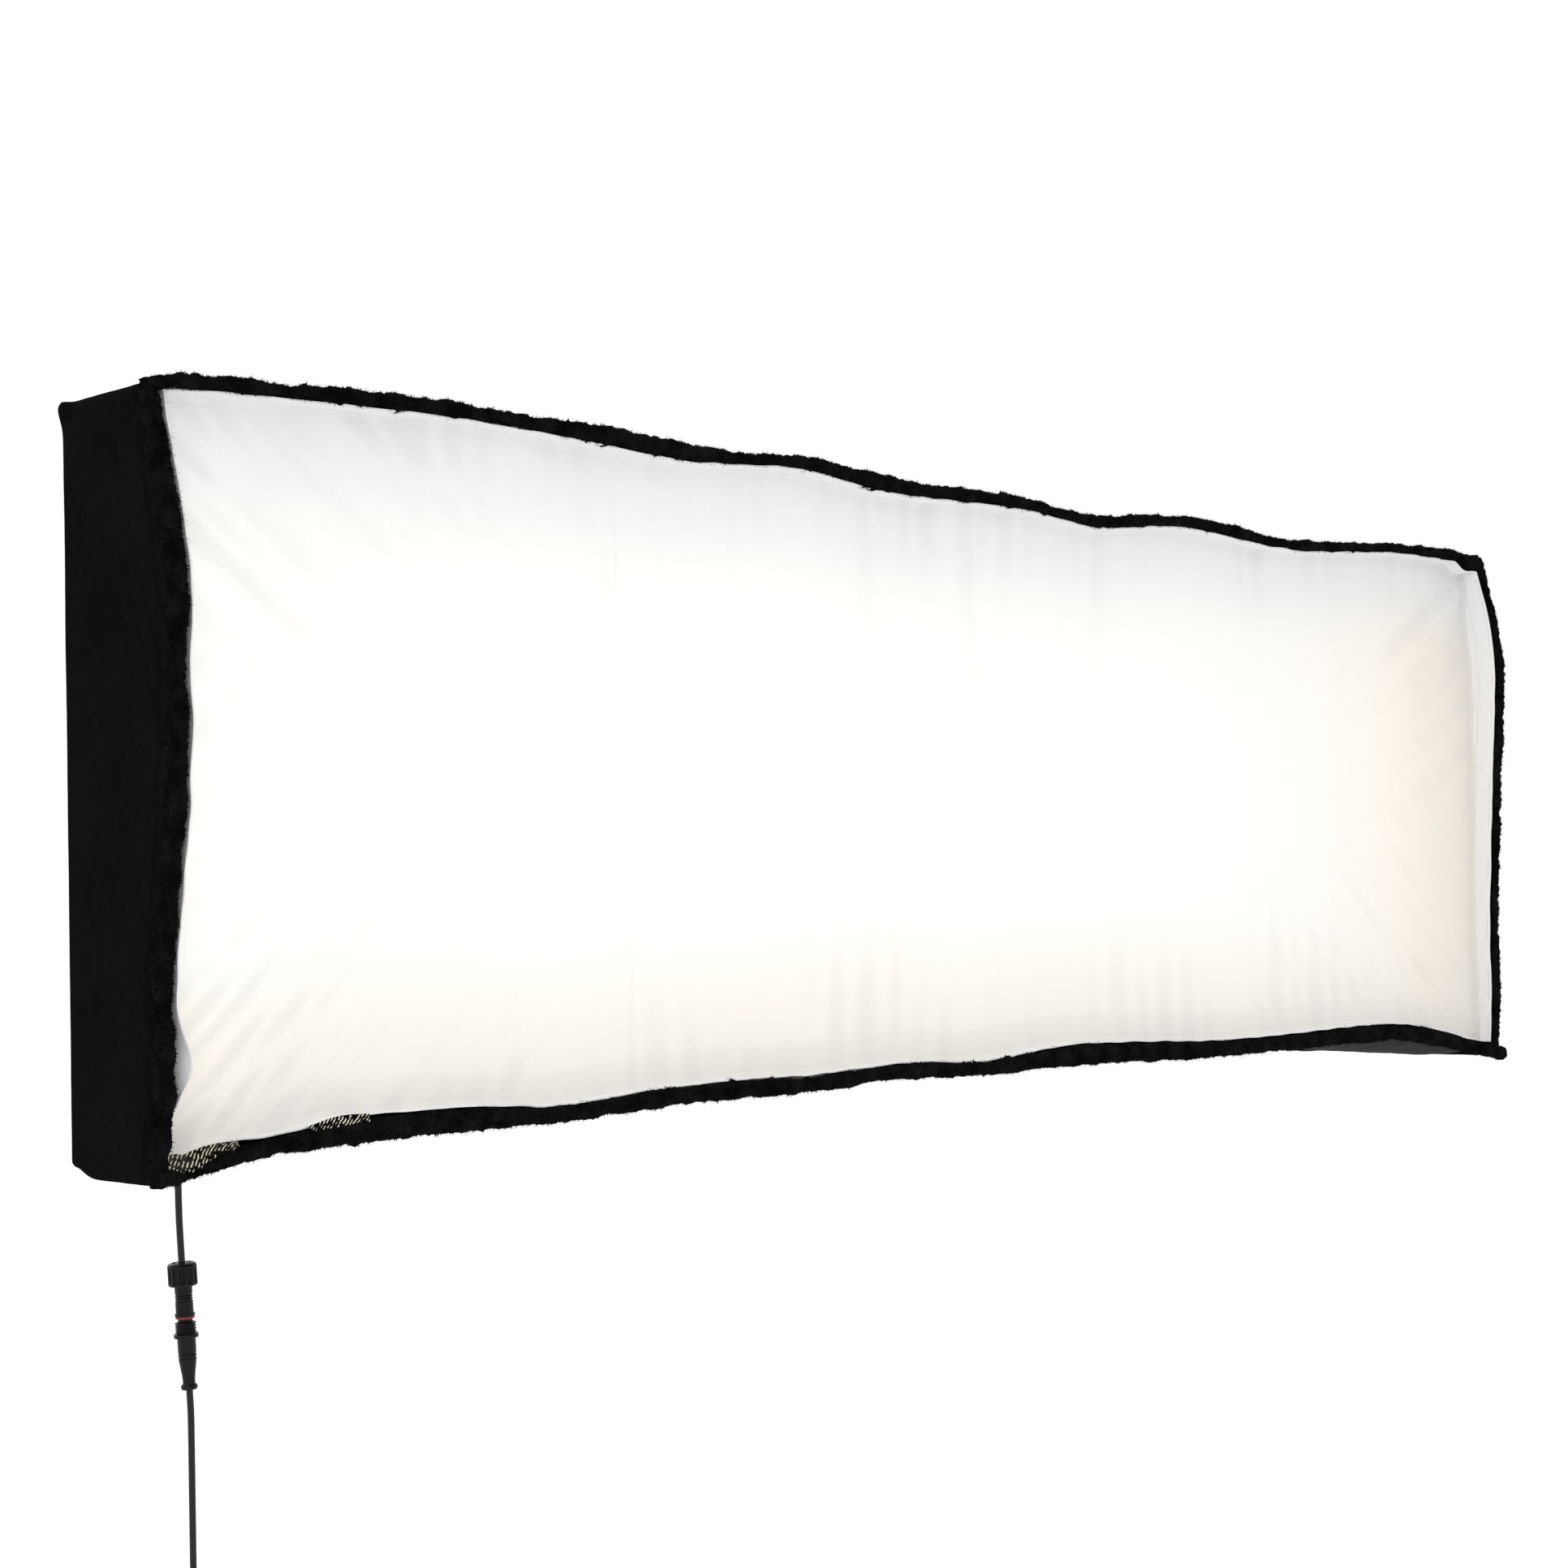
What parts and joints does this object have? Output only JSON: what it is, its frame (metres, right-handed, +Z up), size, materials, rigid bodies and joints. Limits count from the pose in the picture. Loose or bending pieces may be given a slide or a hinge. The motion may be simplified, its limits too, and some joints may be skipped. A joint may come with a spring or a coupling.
{
  "type": "strip softbox",
  "caption": "Wide shallow fabric softbox on a flexible LED mat with a folding X-bracket, tilt joint, stud socket and lead.",
  "frame": {"origin": "on the stud socket's axis, at its mouth", "axes": "+Z up along the socket's bore, +X along the box's length, the lit front faces -Y"},
  "size_m": [1.603, 0.2385, 0.9695],
  "materials": {
    "black_twill": "matte twill weave",
    "black_velour": "brushed loop pile",
    "silver_cloth": "metallised cloth",
    "white_diffusion_cloth": "translucent, lit from behind",
    "white_hook_tape": "woven hook tape",
    "black_hook_tape": "woven hook tape",
    "mat_board": "flexible board",
    "led_phosphor": "phosphor dome",
    "loop_cloth": "brushed loop cloth",
    "painted_casting": "satin black powder coat",
    "anodised_tube": "black anodised",
    "steel": "zinc plated",
    "black_plastic": "moulded, fine texture",
    "connector_plastic": "moulded nylon",
    "black_rubber": "matte",
    "cable_jacket": "satin",
    "red_rubber": "satin",
    "brass": "plated",
    "white_nylon": "satin",
    "fibreglass": "pultruded"
  },
  "bodies": {
    "socket": {"stud_socket": "painted_casting"},
    "head": {"panel_left": "black_twill", "panel_right": "black_twill", "panel_top": "black_twill", "panel_bottom": "black_twill", "silver_lining": "silver_cloth", "rim_tape_left": "black_velour", "rim_tape_right": "black_velour", "rim_tape_top": "black_velour", "rim_tape_bottom": "black_velour", "rear_flange": "black_twill", "corner_stays": "fibreglass", "flange_hook_tape": "black_hook_tape", "led_mat": "mat_board", "led_rows": "led_phosphor", "mat_back_cover": "loop_cloth", "hub_plate": "painted_casting", "hub_hook_pad": "black_hook_tape", "arm_pins": "steel", "mount_bar": "painted_casting", "hub_bolts": "steel", "fork_bolts": "steel", "tilt_fork": "painted_casting", "friction_washers": "white_nylon", "cable_box": "black_plastic", "strain_relief": "black_rubber"},
    "tilt_lock": {"tilt_bolt": "steel", "tilt_handle": "black_plastic"},
    "clamp": {"clamp_screw": "steel", "clamp_handle": "black_plastic"},
    "diffuser": {"diffuser_cloth": "white_diffusion_cloth", "diffuser_edge_tape": "white_hook_tape"},
    "pigtail": {"pigtail_cable": "cable_jacket", "connector_upper": "connector_plastic", "seal_ring": "red_rubber", "contact_pins": "brass"},
    "coupling_ring": {"coupling_ring": "connector_plastic"},
    "lower_lead": {"connector_lower": "connector_plastic", "extension_cable": "cable_jacket", "cable_coil": "cable_jacket", "cable_tail": "cable_jacket", "cable_tie": "black_plastic", "end_plug": "connector_plastic"},
    "arm_upper_left": {"arm_upper_left": "anodised_tube", "arm_tip_upper_left": "black_plastic", "arm_pad_upper_left": "black_hook_tape"},
    "arm_upper_right": {"arm_upper_right": "anodised_tube", "arm_tip_upper_right": "black_plastic", "arm_pad_upper_right": "black_hook_tape"},
    "arm_lower_left": {"arm_lower_left": "anodised_tube", "arm_tip_lower_left": "black_plastic", "arm_pad_lower_left": "black_hook_tape"},
    "arm_lower_right": {"arm_lower_right": "anodised_tube", "arm_tip_lower_right": "black_plastic", "arm_pad_lower_right": "black_hook_tape"}
  },
  "joints": [
    {"name": "tilt", "type": "hinge", "parent": "socket", "child": "head", "pos_m": [0, 0, 0.062], "axis": [1, 0, 0], "range_deg": [-75, 15]},
    {"name": "tilt_lock_turn", "type": "hinge", "parent": "head", "child": "tilt_lock", "pos_m": [0.0138, 0, 0.062], "axis": [1, 0, 0], "range_deg": [0, 120]},
    {"name": "stud_clamp_turn", "type": "hinge", "parent": "socket", "child": "clamp", "pos_m": [0, 0.022, 0.02], "axis": [0, 1, 0], "range_deg": [0, 270]},
    {"name": "fold_upper_left", "type": "hinge", "parent": "head", "child": "arm_upper_left", "pos_m": [-0.05789, -0.03305, 0.26579], "axis": [-0.2631, 0, -0.9648], "range_deg": [0, 78]},
    {"name": "fold_upper_right", "type": "hinge", "parent": "head", "child": "arm_upper_right", "pos_m": [0.05789, -0.03305, 0.26579], "axis": [-0.2631, 0, 0.9648], "range_deg": [0, 78]},
    {"name": "fold_lower_left", "type": "hinge", "parent": "head", "child": "arm_lower_left", "pos_m": [-0.05789, -0.03305, 0.23421], "axis": [0.2631, 0, -0.9648], "range_deg": [0, 78]},
    {"name": "fold_lower_right", "type": "hinge", "parent": "head", "child": "arm_lower_right", "pos_m": [0.05789, -0.03305, 0.23421], "axis": [0.2631, 0, 0.9648], "range_deg": [0, 78]},
    {"name": "diffuser_pull", "type": "slide", "parent": "head", "child": "diffuser", "axis": [0, -1, 0], "range_m": [0, 0.22]},
    {"name": "lead_hang", "type": "hinge", "parent": "head", "child": "pigtail", "pos_m": [-0.712, -0.0316, 0.0112], "axis": [1, 0, 0], "range_deg": [-15, 75]},
    {"name": "ring_slide", "type": "slide", "parent": "pigtail", "child": "coupling_ring", "axis": [0.0523, 0, -0.9986], "range_m": [0, 0.032]},
    {"name": "unplug", "type": "slide", "parent": "pigtail", "child": "lower_lead", "axis": [0.0523, 0, -0.9986], "range_m": [0, 0.03]}
  ],
  "couplings": [
    {"joint": "lead_hang", "follows": "tilt", "ratio": -1}
  ]
}
